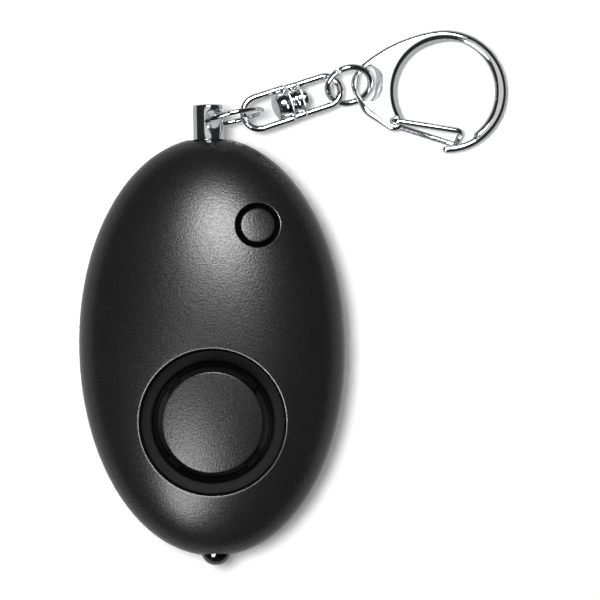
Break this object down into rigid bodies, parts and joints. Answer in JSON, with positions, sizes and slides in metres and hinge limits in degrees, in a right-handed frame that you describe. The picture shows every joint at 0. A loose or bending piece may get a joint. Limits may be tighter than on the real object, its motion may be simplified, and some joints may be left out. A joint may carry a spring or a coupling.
{
  "type": "personal safety alarm",
  "caption": "Egg-shaped handheld alarm: matte black shells, round siren recess, light button, end lamp, and a chrome pull pin on a swivel chain with a snap hook.",
  "frame": {"origin": "middle of the flat on the back of the case, on the surface that it rests on", "axes": "+Z out of the front face, +Y along the case towards the pull pin, +X to the right seen from the front"},
  "size_m": [0.0686, 0.0842, 0.0225],
  "materials": {
    "case_plastic": "fine moulded grain",
    "button_plastic": "fine moulded grain",
    "chrome": "bright plating",
    "steel": "plain",
    "brass": "plain",
    "lens": "clear moulded resin",
    "board": "solder mask",
    "inner_plastic": "moulded",
    "white_plastic": "moulded",
    "ceramic": "fired and silvered",
    "copper_coil": "varnished winding",
    "sleeve": "shrink sleeve",
    "wire_red": "insulation",
    "wire_black": "insulation"
  },
  "bodies": {
    "case": {"front_shell": "case_plastic", "rear_shell": "case_plastic", "siren_cap": "case_plastic", "battery_door": "case_plastic", "piezo_disc": "brass", "piezo_ceramic": "ceramic", "piezo_retainer": "inner_plastic", "switch_body": "inner_plastic", "circuit_board": "board", "board_screws": "steel", "boost_coil": "copper_coil", "alarm_chip": "inner_plastic", "capacitor": "sleeve", "contact_leaves": "brass", "pin_socket": "brass", "lamp_lens": "lens", "lamp_leads": "steel", "lamp_wires": "wire_red", "siren_wires": "wire_red", "battery_wires": "wire_black", "button_cells": "steel", "plus_contact": "steel", "minus_contact": "steel", "door_screw": "steel", "case_screws": "steel"},
    "button": {"light_button": "button_plastic", "switch_plunger": "white_plastic"},
    "pin_shaft": {"pin_stem": "steel", "pin_tip": "white_plastic"},
    "pin_grip": {"pin_head": "chrome"},
    "ring": {"pin_ring": "chrome"},
    "swivel_left": {"swivel_eye": "chrome", "swivel_rivet": "chrome"},
    "swivel_right": {"swivel_yoke": "chrome"},
    "link": {"link_ring": "chrome"},
    "hook": {"snap_hook": "chrome"},
    "gate": {"hook_gate": "chrome"}
  },
  "joints": [
    {"name": "button_press", "type": "slide", "parent": "case", "child": "button", "axis": [0, 0, -1], "range_m": [0, 0.0005], "stiffness_N_per_m": 600},
    {"name": "pin_pull", "type": "slide", "parent": "case", "child": "pin_shaft", "axis": [0, 1, 0], "range_m": [0, 0.016]},
    {"name": "pin_turn", "type": "hinge", "parent": "pin_shaft", "child": "pin_grip", "pos_m": [0, 0.03255, 0.0105], "axis": [0, 1, 0], "continuous": true},
    {"name": "ring_swing", "type": "hinge", "parent": "pin_grip", "child": "ring", "pos_m": [0, 0.0358, 0.0105], "axis": [0.4067, 0, 0.9135], "range_deg": [-8, 70]},
    {"name": "swivel_tilt", "type": "hinge", "parent": "ring", "child": "swivel_left", "pos_m": [0.00563, 0.03618, 0.00636], "axis": [-0.2974, 0.9548, 0], "range_deg": [-25, 40]},
    {"name": "swivel_spin", "type": "hinge", "parent": "swivel_left", "child": "swivel_right", "pos_m": [0.00563, 0.03618, 0.00636], "axis": [0.9421, 0.2934, -0.1624], "continuous": true},
    {"name": "link_swing", "type": "hinge", "parent": "swivel_right", "child": "link", "pos_m": [0.02089, 0.04093, 0.00373], "axis": [-0.2974, 0.9548, 0], "range_deg": [-10, 25]},
    {"name": "hook_swing", "type": "hinge", "parent": "link", "child": "hook", "pos_m": [0.02332, 0.04163, 0.00313], "axis": [0.1167, 0.9932, 0], "range_deg": [-45, 12]},
    {"name": "gate_open", "type": "hinge", "parent": "hook", "child": "gate", "pos_m": [0.02956, 0.03536, 0.00265], "axis": [0.0693, -0.0081, 0.9976], "range_deg": [0, 28], "stiffness_Nm_per_rad": 0.02}
  ]
}
